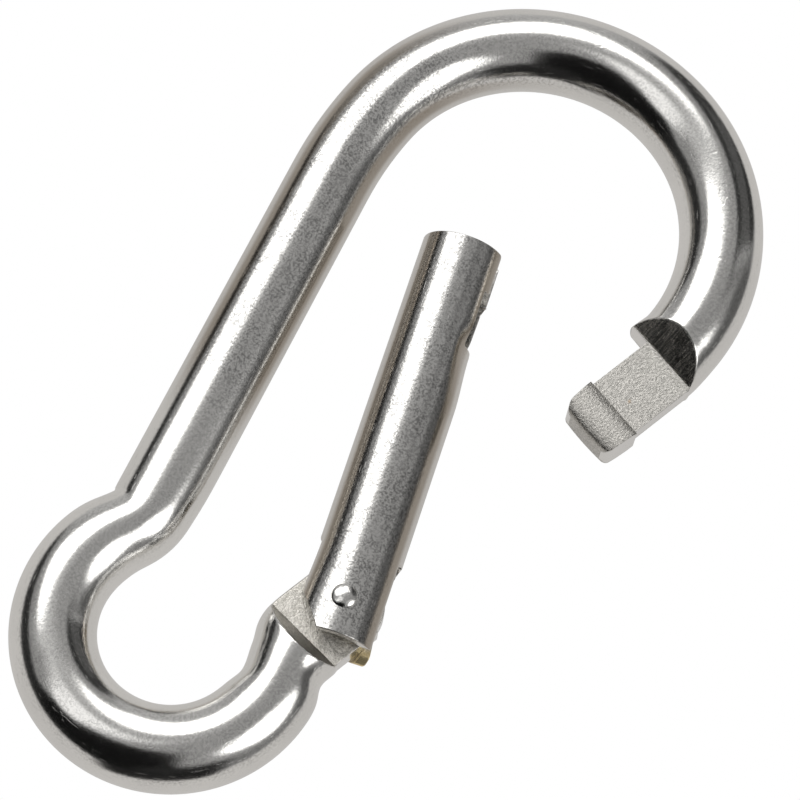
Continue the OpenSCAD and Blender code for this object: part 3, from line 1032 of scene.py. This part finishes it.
PALE_TABLE = 0.55
TABLE_TINT = (1.0, 0.975, 0.95, 1)
# The table's upward direction in camera space: right, up and towards the viewer
TABLE_UP = (0.12, 0.335, 0.938)


def soft_patch(n, p, q, row):
    """Mask of one rounded patch in the mirror-ball plane."""
    name, right, up, half_w, half_h, turn, square, soft, level = row
    c, s = math.cos(math.radians(turn)), math.sin(math.radians(turn))
    dp, dq = n.math("SUBTRACT", p, right), n.math("SUBTRACT", q, up)
    x = n.math("ADD", n.math("MULTIPLY", dp, c / half_w), n.math("MULTIPLY", dq, s / half_w))
    y = n.math("ADD", n.math("MULTIPLY", dp, -s / half_h), n.math("MULTIPLY", dq, c / half_h))
    x = n.math("POWER", n.math("ABSOLUTE", x), square)
    y = n.math("POWER", n.math("ABSOLUTE", y), square)
    far = n.math("POWER", n.math("ADD", x, y), 1 / square)
    return n.ramp(far, 1 - soft, 1 + soft, 1.0, 0.0)


def make_world():
    """White to the eye and to soft surfaces; polished metal mirrors the studio."""
    world = bpy.data.worlds.new("studio")
    bpy.context.scene.world = world
    world.use_nodes = True
    n = Nodes(world.node_tree)
    place = n.add("ShaderNodeTexCoord").outputs["Generated"]
    turn = n.add("ShaderNodeVectorTransform", vector_type="VECTOR")
    turn.convert_from, turn.convert_to = "WORLD", "CAMERA"
    n.set(turn.inputs[0], place)
    split = n.add("ShaderNodeSeparateXYZ")
    n.set(split.inputs[0], turn.outputs[0])
    x, y, z = split.outputs
    flat = n.math("SQRT", n.math("ADD", n.math("MULTIPLY", x, x), n.math("MULTIPLY", y, y)))
    angle = n.math("MULTIPLY", n.math("ARCTAN2", flat, n.math("MULTIPLY", z, FACING)), 180 / math.pi)
    scale = n.math("DIVIDE", angle, n.math("MAXIMUM", flat, 1e-5))
    p, q = n.math("MULTIPLY", x, scale), n.math("MULTIPLY", y, scale)
    value = INNER_WALL
    for row in STUDIO:
        value = mix_value(n, soft_patch(n, p, q, row), value, row[-1])
    towards = n.math("MULTIPLY", z, FACING)
    rise = n.math("MULTIPLY", x, TABLE_UP[0])
    rise = n.math("ADD", rise, n.math("MULTIPLY", y, TABLE_UP[1]))
    rise = n.math("ADD", rise, n.math("MULTIPLY", towards, TABLE_UP[2]))
    table = n.ramp(rise, 0.0, -0.11)
    value = mix_value(n, table, value, PALE_TABLE)
    beyond = soft_patch(n, p, q, BLACK_BEYOND)
    value = mix_value(n, beyond, value, BLACK_BEYOND[-1])
    mirror = n.add("ShaderNodeLightPath").outputs["Is Glossy Ray"]
    value = mix_value(n, mirror, 1.0, value)
    tint = n.math("MULTIPLY", n.math("ADD", n.math("MULTIPLY", table, 0.75), 0.25), mirror)
    background = n.add("ShaderNodeBackground")
    n.set(background.inputs["Strength"], value)
    n.set(background.inputs["Color"], n.mix_colour(tint, (1, 1, 1, 1), TABLE_TINT))
    out = n.add("ShaderNodeOutputWorld")
    n.set(out.inputs["Surface"], background.outputs[0])
    world.cycles.sampling_method = "NONE"


def make_floor():
    low, high = first_box
    size = 3.0
    z = low[2] - 0.0002
    verts = np.array([[-size, -size, z], [size, -size, z], [size, size, z], [-size, size, z]]) / MM
    floor = make_object("floor", verts, [(0, 1, 2, 3)], floor_material())
    floor.visible_glossy = False


# ---------------------------------------------------------------- assembly
STEEL_TINT = (0.92, 0.91, 0.885)
steel = steel_material("hook_steel", STEEL_TINT, 0.135, 0.8, 0.5)
gate_steel = steel_material("gate_steel", STEEL_TINT, 0.11, 1.2, 0.5, heat=(0.9, 0.72, 0.36))
rivet_steel = steel_material("rivet_steel", STEEL_TINT, 0.1, 2.4, 0.6)
wire_steel = steel_material("spring_steel", (0.62, 0.61, 0.60), 0.3, 0.5, 0.2)
brass = steel_material("plunger_brass", (0.80, 0.62, 0.32), 0.28, 0.5, 0.3)

hook = bored(hook_mesh(steel), CLOSED_DIR, BORE_R)
mark_satin(hook)
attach(hook, "hook")
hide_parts("hook_body")

gate = gate_mesh(gate_steel)
mark_tip(gate)
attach(gate, "gate")
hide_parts("gate_sleeve")
for lip in spring_stops(gate_steel):
    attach(lip, "gate")

rivet = rivet_mesh(rivet_steel)
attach(rivet, "gate")
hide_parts("hinge_rivet")

open_angle = math.radians(OPEN_DIR - CLOSED_DIR)
plunger, collar_top = plunger_mesh(brass, CAM_LIFT * open_angle)
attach(plunger, "plunger")
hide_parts("spring_plunger")

stop_foot = NOTCH_FOOT - STOP_T
spring = spring_mesh(wire_steel, collar_top, stop_foot)
start = in_frame(OPEN_DIR, 0, collar_top, 0) * MM
end = in_frame(OPEN_DIR, 0, stop_foot, 0) * MM
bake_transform(spring)
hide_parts("return_spring")

make_floor()
make_world()
make_camera()

bpy.context.scene.view_settings.view_transform = "Standard"
